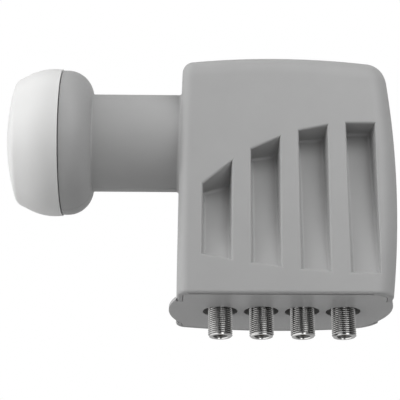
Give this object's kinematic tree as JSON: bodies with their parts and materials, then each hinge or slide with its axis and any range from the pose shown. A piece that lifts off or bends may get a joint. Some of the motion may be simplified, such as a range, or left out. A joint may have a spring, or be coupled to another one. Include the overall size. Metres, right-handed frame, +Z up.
{
  "type": "satellite lnb",
  "caption": "Low-noise block converter for a satellite dish: domed feed cap, round clamping neck and a fluted clamshell housing with threaded F outputs below",
  "frame": {"origin": "on the feed axis, in the middle of the clamping neck", "axes": "+X along the feed axis from the radome cap towards the housing, +Z up with the connectors pointing down, and the fluted front face towards -Y"},
  "size_m": [0.1558, 0.0604, 0.1131],
  "materials": {
    "cover": "fine matt grain, light grey",
    "cap": "smooth satin, white",
    "nickel": "bright nickel plating",
    "insulator": "moulded dark grey",
    "contact": "plain spring bronze",
    "seal": "matt black",
    "casting": "as cast",
    "screw": "zinc plated",
    "board": "green solder mask",
    "ceramic": "fired ceramic",
    "chip": "moulded black"
  },
  "bodies": {
    "root": {"front_cover": "cover", "rear_cover": "cover", "connector_plate": "cover", "radome_cap": "cap", "f_barrel_1": "nickel", "f_barrel_2": "nickel", "f_barrel_3": "nickel", "f_barrel_4": "nickel", "f_insulator_1": "insulator", "f_insulator_2": "insulator", "f_insulator_3": "insulator", "f_insulator_4": "insulator", "f_contact_1": "contact", "f_contact_2": "contact", "f_contact_3": "contact", "f_contact_4": "contact", "probe_vertical": "contact", "probe_horizontal": "contact", "cap_seal": "seal", "lid_gasket": "seal", "f_seal_1": "seal", "f_seal_2": "seal", "f_seal_3": "seal", "f_seal_4": "seal", "feed_casting": "casting", "casting_lid": "casting", "lid_screws": "screw", "board_screws": "screw", "circuit_board": "board", "resonators": "ceramic", "probe_bead_vertical": "ceramic", "probe_bead_horizontal": "ceramic", "chips": "chip", "regulator": "chip"}
  },
  "joints": []
}
